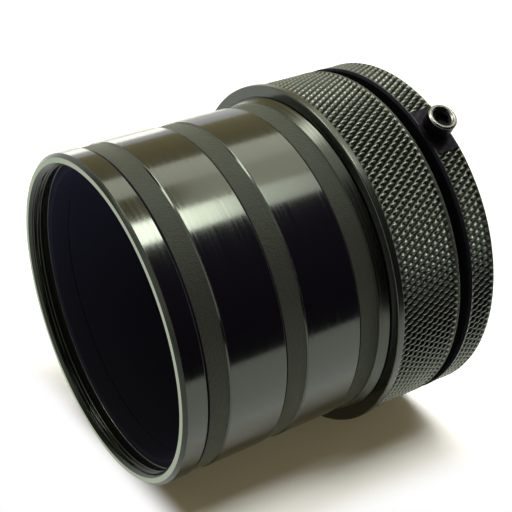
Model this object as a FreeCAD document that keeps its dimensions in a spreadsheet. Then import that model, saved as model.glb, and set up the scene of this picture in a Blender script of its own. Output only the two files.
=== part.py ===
import FreeCAD, Part
import math
import os
import Sketcher

# Telescope camera adapter.
# Millimetres, +Z along the optical axis towards the camera, origin at the centre of the rear face,
# which is the telescope side. The clamp screw points to -Y.
# A stack of threaded tube rings carries the camera at its front. Its neck runs back inside a knurled
# collar, which turns without moving along. The collar drives a sleeve with a clamp ring out and in,
# so the spacing between telescope and camera can be set.

doc = FreeCAD.newDocument("telescope_camera_adapter")
sizes = doc.addObject("Spreadsheet::Sheet", "Sizes")

# Driving dimensions: name and value, each one set by itself.
DIMENSIONS = {
    # clamp ring, on the telescope side
    "bore_radius": 25.5,
    "ring_height": 6.05,
    "ring_edge_chamfer": 0.4,
    "bore_mouth_chamfer": 0.5,
    # neck of the base ring, which the sleeve slides on
    "neck_step": 0.5,
    "neck_wall": 2.0,
    "end_clearance": 0.4,
    # draw sleeve
    "sliding_fit": 0.08,
    "sleeve_wall": 1.75,
    "sleeve_end_chamfer": 0.3,
    "drive_thread_margin": 1.2,
    "drive_thread_pitch": 1.0,
    "drive_thread_depth": 0.3,
    "drive_thread_turns": 7,
    # travel of the sleeve from its photographed place
    "adjuster_gap": 1.9,
    "retract_travel": 1.6,
    "extend_travel": 2.4,
    # knurled collar
    "collar_thread_gap": 0.1,
    "collar_wall": 3.47,
    "collar_length": 14.9,
    "collar_rim_height": 0.35,
    "collar_rim_width": 1.3,
    "collar_rim_chamfer": 0.15,
    "collar_rear_chamfer": 0.6,
    "collar_lip_thickness": 2.0,
    "flange_gap": 0.1,
    # slip washer in the front face of the collar
    "slip_washer_step": 0.35,
    "slip_washer_width": 2.2,
    "slip_washer_recess": 0.6,
    "slip_washer_proud": 0.04,
    # thrust washer and retaining ring behind the lip of the collar
    "thrust_gap": 0.05,
    "thrust_washer_thickness": 0.5,
    "thrust_washer_width": 1.45,
    "retaining_ring_thickness": 1.8,
    "retaining_ring_width": 1.6,
    "spanner_notch_radius": 0.9,
    # guide keys between neck and sleeve
    "slot_end_wall": 0.65,
    "key_radius": 1.25,
    "key_side_gap": 0.1,
    "key_tip_gap": 0.3,
    "key_head_radius": 2.0,
    "key_head_thickness": 0.8,
    "key_head_recess": 0.15,
    # base ring: flange and matte band
    "flange_flare": 0.85,
    "flange_edge_chamfer": 0.15,
    "flange_length": 2.05,
    "base_band_width": 3.6,
    # tube rings and the threads that join them
    "tube_bore_step": 1.4,
    "spigot_wall": 1.8,
    "spigot_length": 3.0,
    "spigot_chamfer": 0.3,
    "thread_gap": 0.05,
    "socket_floor_gap": 0.2,
    "socket_wall": 1.25,
    "band_depth": 0.25,
    "band_width": 3.9,
    "joint_front_chamfer": 0.25,
    "joint_rear_chamfer": 0.12,
    "extension_length": 15.3,
    "joint_thread_pitch": 0.75,
    "joint_thread_depth": 0.35,
    "joint_thread_turns": 3,
    # front ring with the filter thread
    "front_ring_length": 4.55,
    "front_ring_rear_chamfer": 0.25,
    "lip_chamfer": 0.65,
    "lip_width": 0.95,
    "mouth_chamfer": 0.55,
    "filter_thread_pitch": 0.75,
    "filter_thread_depth": 0.4,
    "filter_thread_turns": 2,
    "filter_thread_length": 2.3,
    "filter_seat_depth": 4.0,
    # clamp screw with its soft tip
    "screw_thread_radius": 1.5,
    "screw_thread_pitch": 0.5,
    "screw_thread_depth": 0.2,
    "screw_thread_turns": 13,
    "screw_hole_gap": 0.08,
    "screw_head_radius": 2.75,
    "screw_head_height": 3.0,
    "screw_head_chamfer": 0.3,
    "screw_head_lift": 1.03,
    "screw_socket_radius": 1.45,
    "screw_socket_depth": 1.6,
    "spot_face_radius": 4.8,
    "spot_face_depth": 0.33,
    "tip_radius": 1.1,
    "tip_length": 1.0,
    "tip_recess": 0.1,
    "tip_gap": 0.03,
    "tip_stem_radius": 0.7,
    "tip_stem_length": 1.0,
}
for row, (name, value) in enumerate(DIMENSIONS.items(), start=1):
    sizes.set(f"A{row}", name)
    sizes.set(f"B{row}", str(value))
    sizes.setAlias(f"B{row}", name)
doc.recompute()

KEY_COUNT = 3
NOTCH_COUNT = 4
# Half the width of a thread's V groove on its open side, as a share of the pitch.
GROOVE_HALF_WIDTH = 0.66


def cell(name):
    """The expression that reads one cell of the sheet."""
    return f"Sizes.{name}"


def plus(*terms):
    """The expression for a sum of expressions."""
    return "(" + " + ".join(terms) + ")"


def less(first, *terms):
    """The expression for first minus the other expressions."""
    return "(" + " - ".join((first,) + terms) + ")"


def value_of(expression):
    """The number that an expression gives now, to draw a sketch near its final place."""
    return float(sizes.evalExpression(expression))


# Radii, from the bore outwards.
bore_radius = cell("bore_radius")
neck_inner = plus(bore_radius, cell("neck_step"))
neck_outer = plus(neck_inner, cell("neck_wall"))
sleeve_inner = plus(neck_outer, cell("sliding_fit"))
sleeve_outer = plus(sleeve_inner, cell("sleeve_wall"))
collar_inner = plus(sleeve_outer, cell("collar_thread_gap"))
collar_outer = plus(collar_inner, cell("collar_wall"))
collar_rim = plus(collar_outer, cell("collar_rim_height"))
collar_lip_inner = plus(neck_outer, cell("sliding_fit"))
slip_washer_inner = plus(collar_lip_inner, cell("slip_washer_step"))
slip_washer_outer = plus(slip_washer_inner, cell("slip_washer_width"))
tube_inner = plus(neck_inner, cell("tube_bore_step"))
spigot_outer = plus(tube_inner, cell("spigot_wall"))
socket_inner = plus(spigot_outer, cell("thread_gap"))
band_radius = plus(socket_inner, cell("socket_wall"))
tube_outer = plus(band_radius, cell("band_depth"))
flange_outer = plus(tube_outer, cell("flange_flare"))
lip_outer = less(tube_outer, cell("lip_chamfer"))
mouth_radius = less(lip_outer, cell("lip_width"))
filter_minor = less(mouth_radius, cell("mouth_chamfer"))
filter_major = plus(filter_minor, cell("filter_thread_depth"))
screw_hole_radius = plus(cell("screw_thread_radius"), cell("screw_hole_gap"))
spot_face = less(collar_outer, cell("spot_face_depth"))
slot_radius = plus(cell("key_radius"), cell("key_side_gap"))

# Stations along the axis, from the rear face forwards.
ring_top = cell("ring_height")
screw_height = f"({ring_top} / 2)"
neck_low = plus(screw_height, screw_hole_radius, cell("retract_travel"), cell("end_clearance"))
collar_low = plus(ring_top, cell("adjuster_gap"))
collar_top = plus(collar_low, cell("collar_length"))
lip_low = less(collar_top, cell("collar_lip_thickness"))
thrust_top = less(lip_low, cell("thrust_gap"))
retaining_top = less(thrust_top, cell("thrust_washer_thickness"))
retaining_low = less(retaining_top, cell("retaining_ring_thickness"))
sleeve_top = less(retaining_low, cell("end_clearance"), cell("retract_travel"))
slot_end = less(sleeve_top, cell("slot_end_wall"))
key_height = less(slot_end, slot_radius, cell("key_side_gap"), cell("extend_travel"))
flange_face = plus(collar_top, cell("flange_gap"))
flange_top = plus(flange_face, cell("flange_length"))
base_top = plus(flange_top, cell("base_band_width"), cell("joint_front_chamfer"))
rear_extension_top = plus(base_top, cell("extension_length"))
front_extension_top = plus(rear_extension_top, cell("extension_length"))
lip_face = plus(front_extension_top, cell("front_ring_length"))


def origin_feature(body, role):
    """The body's own origin plane or axis with this role."""
    return next(f for f in body.Origin.OriginFeatures if f.Role == role)


def new_body(label):
    body = doc.addObject("PartDesign::Body", label)
    body.Label = label
    return body


def new_sketch(body, name, offset=None):
    """A sketch on the body's XZ plane, moved towards -Y by an expression."""
    sketch = body.newObject("Sketcher::SketchObject", name)
    sketch.AttachmentSupport = [(origin_feature(body, "XZ_Plane"), "")]
    sketch.MapMode = "FlatFace"
    if offset:
        sketch.setExpression("AttachmentOffset.Base.z", offset)
    return sketch


def bind(sketch, constraint, expression):
    """Adds a constraint with a size and binds it to an expression."""
    number = sketch.addConstraint(constraint)
    sketch.setExpression(f"Constraints[{number}]", expression)


def closed_outline(sketch, corners):
    """Draws a closed outline through corners, each a pair of expressions: radius and height."""
    places = [(value_of(across), value_of(up)) for across, up in corners]
    points = [FreeCAD.Vector(across, up, 0) for across, up in places]
    count = len(points)
    for index in range(count):
        line = Part.LineSegment(points[index], points[(index + 1) % count])
        sketch.addGeometry(line, False)
    for index in range(count):
        following = (index + 1) % count
        sketch.addConstraint(Sketcher.Constraint("Coincident", index, 2, following, 1))
    for index, (across, up) in enumerate(corners):
        if across == "0":
            sketch.addConstraint(Sketcher.Constraint("PointOnObject", index, 1, -2))
        else:
            across_size = Sketcher.Constraint("DistanceX", -1, 1, index, 1, places[index][0])
            bind(sketch, across_size, across)
        if up == "0":
            sketch.addConstraint(Sketcher.Constraint("PointOnObject", index, 1, -1))
        else:
            up_size = Sketcher.Constraint("DistanceY", -1, 1, index, 1, places[index][1])
            bind(sketch, up_size, up)


def turned(label, corners):
    """A turned body: the outline of radius and height, revolved about the body's Z axis."""
    body = new_body(label)
    sketch = new_sketch(body, f"{label}_profile")
    closed_outline(sketch, corners)
    revolution = body.newObject("PartDesign::Revolution", f"{label}_revolution")
    revolution.Profile = sketch
    revolution.ReferenceAxis = (sketch, ["V_Axis"])
    revolution.Angle = 360
    doc.recompute()
    return body


def check_cut(body, volume_before, name):
    """A cut that points away from the solid changes nothing, so its volume is compared."""
    if not body.Shape.Volume < volume_before - 1e-6:
        raise RuntimeError(f"{name} cuts nothing")


def thread_rings(body, name, radius, depth, outside, first, pitch, turns):
    """Cuts a thread as closed V rings from the height first downwards, outside or in a bore."""
    air = plus(radius, depth) if outside else less(radius, depth)
    root = less(radius, depth) if outside else plus(radius, depth)
    half = f"({pitch} * {GROOVE_HALF_WIDTH})"
    sketch = new_sketch(body, f"{name}_profile")
    closed_outline(sketch, [(air, less(first, half)), (air, plus(first, half)), (root, first)])
    volume_before = body.Shape.Volume
    groove = body.newObject("PartDesign::Groove", name)
    groove.Profile = sketch
    groove.ReferenceAxis = (sketch, ["V_Axis"])
    groove.Angle = 360
    doc.recompute()
    pattern = body.newObject("PartDesign::LinearPattern", f"{name}_pattern")
    pattern.Originals = [groove]
    pattern.Direction = (origin_feature(body, "Z_Axis"), [""])
    pattern.Reversed = True
    pattern.setExpression("Length", f"{pitch} * ({turns} - 1)")
    pattern.setExpression("Occurrences", turns)
    body.Tip = pattern
    doc.recompute()
    check_cut(body, volume_before, name)


def radial_pocket(body, name, sketch, length):
    """A pocket from its sketch towards -Y: through all, or as long as an expression says."""
    volume_before = body.Shape.Volume
    pocket = body.newObject("PartDesign::Pocket", name)
    pocket.Profile = sketch
    pocket.Reversed = True
    if length:
        pocket.setExpression("Length", length)
    else:
        pocket.Type = "ThroughAll"
    doc.recompute()
    check_cut(body, volume_before, name)
    return pocket


def radial_hole(body, name, radius, height, length=None, start=None):
    """Drills a round hole towards -Y, from the axis or from start, through all or by a length."""
    sketch = new_sketch(body, f"{name}_circle", start)
    centre = FreeCAD.Vector(0, value_of(height), 0)
    circle = Part.Circle(centre, FreeCAD.Vector(0, 0, 1), value_of(radius))
    sketch.addGeometry(circle, False)
    sketch.addConstraint(Sketcher.Constraint("PointOnObject", 0, 3, -2))
    bind(sketch, Sketcher.Constraint("DistanceY", -1, 1, 0, 3, centre.y), height)
    bind(sketch, Sketcher.Constraint("Radius", 0, value_of(radius)), radius)
    return radial_pocket(body, name, sketch, length)


def radial_slot(body, name, radius, low, high):
    """Mills a slot with round ends towards -Y, between the centres low and high of its ends."""
    sketch = new_sketch(body, f"{name}_outline")
    half = value_of(radius)
    bottom = value_of(low)
    top = value_of(high)
    normal = FreeCAD.Vector(0, 0, 1)
    upper = Part.Circle(FreeCAD.Vector(0, top, 0), normal, half)
    lower = Part.Circle(FreeCAD.Vector(0, bottom, 0), normal, half)
    sketch.addGeometry(Part.ArcOfCircle(upper, 0, math.pi), False)
    left = Part.LineSegment(FreeCAD.Vector(-half, top, 0), FreeCAD.Vector(-half, bottom, 0))
    sketch.addGeometry(left, False)
    sketch.addGeometry(Part.ArcOfCircle(lower, math.pi, 2 * math.pi), False)
    right = Part.LineSegment(FreeCAD.Vector(half, bottom, 0), FreeCAD.Vector(half, top, 0))
    sketch.addGeometry(right, False)
    for index in range(4):
        following = (index + 1) % 4
        sketch.addConstraint(Sketcher.Constraint("Tangent", index, 2, following, 1))
    for arc, height in ((0, high), (2, low)):
        sketch.addConstraint(Sketcher.Constraint("PointOnObject", arc, 3, -2))
        up_size = Sketcher.Constraint("DistanceY", -1, 1, arc, 3, value_of(height))
        bind(sketch, up_size, height)
    bind(sketch, Sketcher.Constraint("Radius", 0, half), radius)
    return radial_pocket(body, name, sketch, None)


def repeat_around(body, name, features, count):
    """Repeats features evenly about the optical axis."""
    volume_before = body.Shape.Volume
    pattern = body.newObject("PartDesign::PolarPattern", name)
    pattern.Originals = features
    pattern.Axis = (origin_feature(body, "Z_Axis"), [""])
    pattern.Angle = 360
    pattern.Occurrences = count
    body.Tip = pattern
    doc.recompute()
    check_cut(body, volume_before, name)


# The clamp ring takes the telescope's 2 inch nosepiece, and its counterbore seats the draw sleeve.
def make_clamp_ring():
    chamfer = cell("ring_edge_chamfer")
    mouth = cell("bore_mouth_chamfer")
    seat_radius = plus(sleeve_outer, cell("thread_gap"))
    body = turned("clamp_ring", [
        (plus(bore_radius, mouth), "0"),
        (less(collar_outer, chamfer), "0"),
        (collar_outer, chamfer),
        (collar_outer, less(ring_top, chamfer)),
        (less(collar_outer, chamfer), ring_top),
        (seat_radius, ring_top),
        (seat_radius, screw_height),
        (bore_radius, screw_height),
        (bore_radius, mouth),
    ])
    radial_hole(body, "screw_hole", screw_hole_radius, screw_height)
    radial_hole(body, "spot_face", cell("spot_face_radius"), screw_height, None, spot_face)
    return body


# The draw sleeve is fixed in the clamp ring and slides on the neck. Its slots run on the keys, and
# their ends stop it.
def make_draw_sleeve():
    chamfer = cell("sleeve_end_chamfer")
    body = turned("draw_sleeve", [
        (sleeve_inner, screw_height),
        (less(sleeve_outer, chamfer), screw_height),
        (sleeve_outer, plus(screw_height, chamfer)),
        (sleeve_outer, less(sleeve_top, chamfer)),
        (less(sleeve_outer, chamfer), sleeve_top),
        (sleeve_inner, sleeve_top),
    ])
    first = less(sleeve_top, cell("drive_thread_margin"))
    depth = cell("drive_thread_depth")
    pitch = cell("drive_thread_pitch")
    turns = cell("drive_thread_turns")
    thread_rings(body, "drive_thread", sleeve_outer, depth, True, first, pitch, turns)
    radial_hole(body, "screw_notch", screw_hole_radius, screw_height)
    slot_low = less(key_height, cell("retract_travel"), cell("key_side_gap"))
    slot_high = plus(key_height, cell("extend_travel"), cell("key_side_gap"))
    slot = radial_slot(body, "key_slot", slot_radius, slot_low, slot_high)
    repeat_around(body, "key_slots", [slot], KEY_COUNT)
    return body


# The knurled collar turns on the neck, and the lip inside its front end holds it in place.
def make_knurled_collar():
    rim_chamfer = cell("collar_rim_chamfer")
    rear_chamfer = cell("collar_rear_chamfer")
    rim_low = less(collar_top, cell("collar_rim_width"))
    recess_low = less(collar_top, cell("slip_washer_recess"))
    recess_inner = less(slip_washer_inner, cell("thread_gap"))
    recess_outer = plus(slip_washer_outer, cell("thread_gap"))
    return turned("knurled_collar", [
        (collar_inner, collar_low),
        (less(collar_outer, rear_chamfer), collar_low),
        (collar_outer, plus(collar_low, rear_chamfer)),
        (collar_outer, less(rim_low, cell("collar_rim_height"))),
        (collar_rim, rim_low),
        (collar_rim, less(collar_top, rim_chamfer)),
        (less(collar_rim, rim_chamfer), collar_top),
        (recess_outer, collar_top),
        (recess_outer, recess_low),
        (recess_inner, recess_low),
        (recess_inner, collar_top),
        (collar_lip_inner, collar_top),
        (collar_lip_inner, lip_low),
        (collar_inner, lip_low),
    ])


def make_washer(label, inner, outer, low, high):
    """A flat ring of rectangular section."""
    return turned(label, [(inner, low), (outer, low), (outer, high), (inner, high)])


def make_slip_washer():
    low = less(collar_top, cell("slip_washer_recess"))
    high = plus(collar_top, cell("slip_washer_proud"))
    return make_washer("slip_washer", slip_washer_inner, slip_washer_outer, low, high)


def make_thrust_washer():
    inner = plus(neck_outer, cell("thread_gap"))
    outer = plus(inner, cell("thrust_washer_width"))
    return make_washer("thrust_washer", inner, outer, retaining_top, thrust_top)


# The retaining ring screws on to the neck and has notches for a pin spanner.
def make_retaining_ring():
    inner = plus(neck_outer, cell("thread_gap"))
    outer = plus(inner, cell("retaining_ring_width"))
    body = make_washer("retaining_ring", inner, outer, retaining_low, retaining_top)
    notch = radial_hole(body, "spanner_notch", cell("spanner_notch_radius"), retaining_low)
    repeat_around(body, "spanner_notches", [notch], NOTCH_COUNT)
    return body


# The base ring: neck at the rear, conical flange, matte band, and the socket for the next ring.
def make_base_ring():
    edge_chamfer = cell("flange_edge_chamfer")
    neck_chamfer = cell("sleeve_end_chamfer")
    joint_chamfer = cell("joint_front_chamfer")
    socket_floor = less(base_top, cell("spigot_length"), cell("socket_floor_gap"))
    body = turned("base_ring", [
        (neck_inner, neck_low),
        (less(neck_outer, neck_chamfer), neck_low),
        (neck_outer, plus(neck_low, neck_chamfer)),
        (neck_outer, flange_face),
        (less(flange_outer, edge_chamfer), flange_face),
        (flange_outer, plus(flange_face, edge_chamfer)),
        (tube_outer, flange_top),
        (band_radius, flange_top),
        (band_radius, less(base_top, joint_chamfer)),
        (less(band_radius, joint_chamfer), base_top),
        (socket_inner, base_top),
        (socket_inner, socket_floor),
        (neck_inner, socket_floor),
    ])
    hole_radius = plus(cell("key_radius"), cell("thread_gap"))
    head_room = plus(cell("key_head_radius"), cell("thread_gap"))
    head_seat = plus(neck_inner, cell("key_head_recess"), cell("key_head_thickness"))
    hole = radial_hole(body, "key_hole", hole_radius, key_height)
    counterbore = radial_hole(body, "key_counterbore", head_room, key_height, head_seat)
    repeat_around(body, "key_holes", [hole, counterbore], KEY_COUNT)
    return body


# Three headed keys, put in from inside the neck, stand in the slots of the draw sleeve.
def make_guide_keys():
    head_inner = plus(neck_inner, cell("key_head_recess"))
    shank_length = less(sleeve_outer, cell("key_tip_gap"), head_inner)
    keys = []
    for index in range(KEY_COUNT):
        turn = FreeCAD.Rotation(FreeCAD.Vector(0, 0, 1), 360.0 * index / KEY_COUNT)
        outwards = turn.multiply(FreeCAD.Rotation(FreeCAD.Vector(1, 0, 0), 90))
        direction = outwards.multVec(FreeCAD.Vector(0, 0, 1))
        pieces = []
        for kind, radius, length in (
            ("head", cell("key_head_radius"), cell("key_head_thickness")),
            ("shank", cell("key_radius"), shank_length),
        ):
            piece = doc.addObject("Part::Cylinder", f"key_{kind}_{index + 1}")
            piece.Placement = FreeCAD.Placement(FreeCAD.Vector(0, 0, 0), outwards)
            piece.setExpression("Radius", radius)
            piece.setExpression("Height", length)
            piece.setExpression("Placement.Base.x", f"{head_inner} * {direction.x:.9f}")
            piece.setExpression("Placement.Base.y", f"{head_inner} * {direction.y:.9f}")
            piece.setExpression("Placement.Base.z", key_height)
            pieces.append(piece)
        key = doc.addObject("Part::MultiFuse", f"key_{index + 1}")
        key.Shapes = pieces
        keys.append(key)
    group = doc.addObject("Part::Compound", "guide_keys")
    group.Label = "guide_keys"
    group.Links = keys
    doc.recompute()
    return group


def joint_thread(body, low):
    """The thread on the spigot that stands below the height low."""
    pitch = cell("joint_thread_pitch")
    depth = cell("joint_thread_depth")
    turns = cell("joint_thread_turns")
    first = less(low, pitch)
    thread_rings(body, "joint_thread", spigot_outer, depth, True, first, pitch, turns)


# A tube ring seats its spigot in the ring behind, and has a socket and a matte band at its front.
def make_extension_ring(label, low):
    high = plus(low, cell("extension_length"))
    spigot_low = less(low, cell("spigot_length"))
    spigot_chamfer = cell("spigot_chamfer")
    socket_floor = less(high, cell("spigot_length"), cell("socket_floor_gap"))
    rear_chamfer = cell("joint_rear_chamfer")
    front_chamfer = cell("joint_front_chamfer")
    band_low = less(high, front_chamfer, cell("band_width"))
    body = turned(label, [
        (tube_inner, spigot_low),
        (less(spigot_outer, spigot_chamfer), spigot_low),
        (spigot_outer, plus(spigot_low, spigot_chamfer)),
        (spigot_outer, low),
        (less(tube_outer, rear_chamfer), low),
        (tube_outer, plus(low, rear_chamfer)),
        (tube_outer, less(band_low, cell("band_depth"))),
        (band_radius, band_low),
        (band_radius, less(high, front_chamfer)),
        (less(band_radius, front_chamfer), high),
        (socket_inner, high),
        (socket_inner, socket_floor),
        (tube_inner, socket_floor),
    ])
    joint_thread(body, low)
    return body


# The front ring holds the camera in its filter thread, with a smooth relief down to the seat.
def make_front_ring():
    low = front_extension_top
    spigot_low = less(low, cell("spigot_length"))
    spigot_chamfer = cell("spigot_chamfer")
    rear_chamfer = cell("front_ring_rear_chamfer")
    thread_top = less(lip_face, cell("mouth_chamfer"))
    thread_low = less(lip_face, cell("filter_thread_length"))
    seat = less(lip_face, cell("filter_seat_depth"))
    body = turned("front_ring", [
        (tube_inner, spigot_low),
        (less(spigot_outer, spigot_chamfer), spigot_low),
        (spigot_outer, plus(spigot_low, spigot_chamfer)),
        (spigot_outer, low),
        (less(tube_outer, rear_chamfer), low),
        (tube_outer, plus(low, rear_chamfer)),
        (tube_outer, less(lip_face, cell("lip_chamfer"))),
        (lip_outer, lip_face),
        (mouth_radius, lip_face),
        (filter_minor, thread_top),
        (filter_minor, thread_low),
        (filter_major, thread_low),
        (filter_major, seat),
        (tube_inner, seat),
    ])
    joint_thread(body, low)
    pitch = cell("filter_thread_pitch")
    depth = cell("filter_thread_depth")
    turns = cell("filter_thread_turns")
    first = less(thread_top, f"({pitch} / 2)")
    thread_rings(body, "filter_thread", filter_minor, depth, False, first, pitch, turns)
    return body


# The clamp screw is turned about its own Z axis, which its placement lays along -Y.
def lay_along_screw_axis(body):
    body.Placement = FreeCAD.Placement(
        FreeCAD.Vector(0, 0, 0), FreeCAD.Rotation(FreeCAD.Vector(1, 0, 0), 90)
    )
    body.setExpression("Placement.Base.z", screw_height)
    doc.recompute()


tip_inner = plus(bore_radius, cell("tip_recess"))
tip_shoulder = plus(tip_inner, cell("tip_length"))
screw_end = plus(tip_shoulder, cell("tip_gap"))


def make_clamp_screw():
    head_low = plus(spot_face, cell("screw_head_lift"))
    head_top = plus(head_low, cell("screw_head_height"))
    head_radius = cell("screw_head_radius")
    head_chamfer = cell("screw_head_chamfer")
    thread_radius = cell("screw_thread_radius")
    end_chamfer = cell("screw_thread_depth")
    stem_hole = plus(cell("tip_stem_radius"), cell("thread_gap"))
    stem_hole_end = plus(tip_shoulder, cell("tip_stem_length"), cell("end_clearance"))
    body = turned("clamp_screw", [
        (stem_hole, screw_end),
        (less(thread_radius, end_chamfer), screw_end),
        (thread_radius, plus(screw_end, end_chamfer)),
        (thread_radius, head_low),
        (head_radius, head_low),
        (head_radius, less(head_top, head_chamfer)),
        (less(head_radius, head_chamfer), head_top),
        ("0", head_top),
        ("0", stem_hole_end),
        (stem_hole, stem_hole_end),
    ])
    pitch = cell("screw_thread_pitch")
    depth = cell("screw_thread_depth")
    turns = cell("screw_thread_turns")
    first = less(head_low, pitch)
    thread_rings(body, "screw_thread", thread_radius, depth, True, first, pitch, turns)
    volume_before = body.Shape.Volume
    socket = body.newObject("PartDesign::SubtractivePrism", "hex_socket")
    socket.AttachmentSupport = [(origin_feature(body, "XY_Plane"), "")]
    socket.MapMode = "FlatFace"
    socket.Polygon = 6
    socket.setExpression("Circumradius", cell("screw_socket_radius"))
    socket.setExpression("Height", cell("screw_socket_depth"))
    socket.setExpression("AttachmentOffset.Base.z", less(head_top, cell("screw_socket_depth")))
    doc.recompute()
    check_cut(body, volume_before, "hex_socket")
    lay_along_screw_axis(body)
    return body


# The soft tip stands in the end of the clamp screw and presses on the nosepiece without turning.
def make_screw_tip():
    stem_end = plus(tip_shoulder, cell("tip_stem_length"))
    body = turned("screw_tip", [
        ("0", tip_inner),
        (cell("tip_radius"), tip_inner),
        (cell("tip_radius"), tip_shoulder),
        (cell("tip_stem_radius"), tip_shoulder),
        (cell("tip_stem_radius"), stem_end),
        ("0", stem_end),
    ])
    lay_along_screw_axis(body)
    return body


sub_parts = [
    make_clamp_ring(),
    make_draw_sleeve(),
    make_knurled_collar(),
    make_slip_washer(),
    make_thrust_washer(),
    make_retaining_ring(),
    make_base_ring(),
    make_guide_keys(),
    make_extension_ring("rear_extension_ring", base_top),
    make_extension_ring("front_extension_ring", rear_extension_top),
    make_front_ring(),
    make_clamp_screw(),
    make_screw_tip(),
]
doc.recompute()

for item in doc.Objects:
    if "Invalid" in item.State or "Error" in item.State:
        raise RuntimeError(f"{item.Name} failed: {item.State}")
for part in sub_parts:
    if part.Shape.isNull() or not part.Shape.isValid():
        raise RuntimeError(f"{part.Label} has no valid shape")

os.makedirs("parts", exist_ok=True)
for part in sub_parts:
    part.Shape.exportStep(f"parts/{part.Label}.step")
    box = part.Shape.BoundBox
    print(
        f"{part.Label}: {len(part.Shape.Solids)} solid(s), {part.Shape.Volume:.1f} mm3, "
        f"z {box.ZMin:.2f} to {box.ZMax:.2f}, across {box.XLength:.2f}"
    )
print(f"overall length {value_of(lip_face):.2f} mm")
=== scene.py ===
# %% [markdown]
# # A telescope camera adapter
#
# The object is a stack of turned aluminium rings, black anodised. A camera screws into the mouth
# at one end. A telescope's nosepiece goes into the clamp ring at the other end, where a small
# socket screw holds it. A knurled collar between them drives the clamp ring out and in.
#
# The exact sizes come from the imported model, which is loaded first as a fixed frame. Each visible
# ring is then turned again here as a finer mesh, with broken edges, real knurling and threads.

# %% The frame
import math

import bmesh
import bpy
from mathutils import Matrix, Vector


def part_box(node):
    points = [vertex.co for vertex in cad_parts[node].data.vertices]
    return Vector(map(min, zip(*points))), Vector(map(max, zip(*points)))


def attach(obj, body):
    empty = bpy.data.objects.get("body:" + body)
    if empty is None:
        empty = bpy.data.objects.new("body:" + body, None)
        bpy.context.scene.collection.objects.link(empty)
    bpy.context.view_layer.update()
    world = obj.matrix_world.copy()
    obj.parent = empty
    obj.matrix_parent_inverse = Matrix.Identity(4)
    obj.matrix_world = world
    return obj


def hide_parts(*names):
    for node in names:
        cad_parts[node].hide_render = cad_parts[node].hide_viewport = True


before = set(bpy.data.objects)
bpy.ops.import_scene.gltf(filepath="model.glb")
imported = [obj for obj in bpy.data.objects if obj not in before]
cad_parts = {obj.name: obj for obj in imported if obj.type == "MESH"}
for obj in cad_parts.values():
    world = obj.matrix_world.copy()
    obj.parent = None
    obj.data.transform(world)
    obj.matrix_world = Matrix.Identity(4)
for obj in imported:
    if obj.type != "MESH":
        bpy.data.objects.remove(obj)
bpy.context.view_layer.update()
MM = 0.001
MICRON = 0.000001
print("nodes:", sorted(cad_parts))


# %% [markdown]
# ## The camera
#
# The photograph looks down on the adapter as it lies on its side, mouth to the left. The camera
# comes first, because every other choice is seen through it. It could be aimed by eye, but
# here its place was worked out from the edges of the rings: each ring is a circle whose size is
# known, so its ellipse says from where it was seen. A rotation is written as three axes, which
# need no angles: the picture's right, its top, and the line of sight.

# %% The camera
CAMERA_PLACE = Vector((-72.6, -173.3, 129.7)) * MM
LINE_OF_SIGHT = Vector((0.3497, 0.8097, -0.4711)).normalized()
PICTURE_TOP = Vector((0.8083, -0.5149, -0.2853))
FOCAL_PIXELS = 1108
PICTURE_PIXELS = 512
SENSOR_WIDTH = 36


def into_scene(name, data, place=None):
    """Puts a camera, a lamp or a mesh into the scene, at a place if one is given."""
    thing = bpy.data.objects.new(name, data)
    if place is not None:
        thing.matrix_world = place
    bpy.context.scene.collection.objects.link(thing)
    return thing


right = LINE_OF_SIGHT.cross(PICTURE_TOP).normalized()
top = right.cross(LINE_OF_SIGHT)
aim = Matrix((right, top, -LINE_OF_SIGHT)).transposed().to_4x4()
camera_data = bpy.data.cameras.new("camera")
camera_data.sensor_width = SENSOR_WIDTH
camera_data.lens = SENSOR_WIDTH * FOCAL_PIXELS / PICTURE_PIXELS
camera_data.clip_start = 10 * MM
camera = into_scene("camera", camera_data, Matrix.Translation(CAMERA_PLACE) @ aim)
bpy.context.scene.camera = camera
print("focal length", round(camera_data.lens, 1), "mm")


# %% [markdown]
# ## Rows round an axis
#
# A lathe makes every part here, so the meshes are made the same way: a profile is carried round
# the optical axis. Blender's Screw modifier or bmesh.ops.spin could do it, but a knurl and a
# thread need a radius that changes on the way round. So a ring is a list of rows. A row has a
# height, a number of points, and a radius for each angle.

# %% Rows
class Row:
    """One circle of points: height, number of points, finish of the strip after it.

    A row may know the radius halfway to the next row, so that its quads can be folded to fit.
    """

    def __init__(self, height, count, radius, finish=0, wear_and_groove_shade=0.0, halfway=None):
        self.height = height
        self.count = count
        self.radius = radius
        self.finish = finish
        self.wear_and_groove_shade = wear_and_groove_shade
        self.halfway = halfway

    def points(self):
        for index in range(self.count):
            angle = 2 * math.pi * index / self.count
            radius = self.radius(angle) if callable(self.radius) else self.radius
            place = Vector((radius * math.cos(angle), radius * math.sin(angle), self.height))
            wear_and_groove_shade = self.wear_and_groove_shade(angle) if callable(self.wear_and_groove_shade) else self.wear_and_groove_shade
            yield place * MM, wear_and_groove_shade


print("a row of 3 points, 10 mm out:", [place for place, _ in Row(0, 3, 10).points()])


# %% [markdown]
# ### Strips between rows
#
# Two rows with the same number of points are joined by quads. Where a finely knurled row meets a
# plain one, fans of triangles join them, which keeps each ring one closed skin. A quad across a
# groove isn't flat, so it is folded, and of its two diagonals the one nearer to the true shape is
# taken.

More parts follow.
